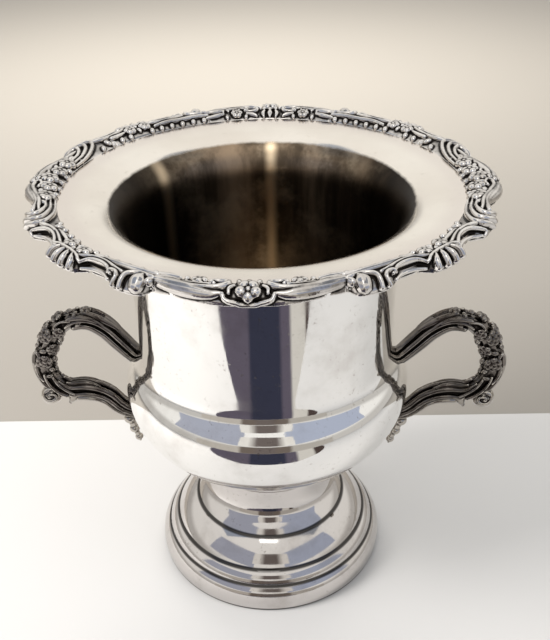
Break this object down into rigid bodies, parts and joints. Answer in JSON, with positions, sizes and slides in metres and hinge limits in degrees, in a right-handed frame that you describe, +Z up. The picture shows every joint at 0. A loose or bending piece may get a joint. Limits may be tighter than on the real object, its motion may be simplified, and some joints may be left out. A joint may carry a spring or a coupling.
{
  "type": "champagne bucket",
  "caption": "Footed silver-plate champagne bucket with a wide flower-cast rim, two cast loop handles and a stepped pedestal foot.",
  "frame": {"origin": "centre of the foot's resting face, on the bucket's axis", "axes": "+Z up along the bucket's axis, +X through the right handle, -Y towards the side seen in front"},
  "size_m": [0.3, 0.2592, 0.2706],
  "materials": {
    "polished_silver": "mirror-polished silver plate on brass with fine tarnish mottling",
    "cast_silver": "polished silver plate on cast metal with oxidised dark recesses",
    "bare_brass": "dull unplated brass"
  },
  "bodies": {
    "root": {"bowl_shell": "polished_silver", "border_shell_front": "cast_silver", "border_rose_right": "cast_silver", "border_shell_back": "cast_silver", "border_rose_left": "cast_silver", "border_scroll_front_right": "cast_silver", "border_scroll_back_right": "cast_silver", "border_scroll_back_left": "cast_silver", "border_scroll_front_left": "cast_silver", "handle_right": "cast_silver", "handle_left": "cast_silver", "stem_collar": "polished_silver", "foot_shell": "polished_silver", "foot_ring": "polished_silver", "bowl_boss": "bare_brass", "foot_plate": "bare_brass", "foot_stud": "bare_brass", "foot_washer": "bare_brass", "foot_nut": "bare_brass"}
  },
  "joints": []
}
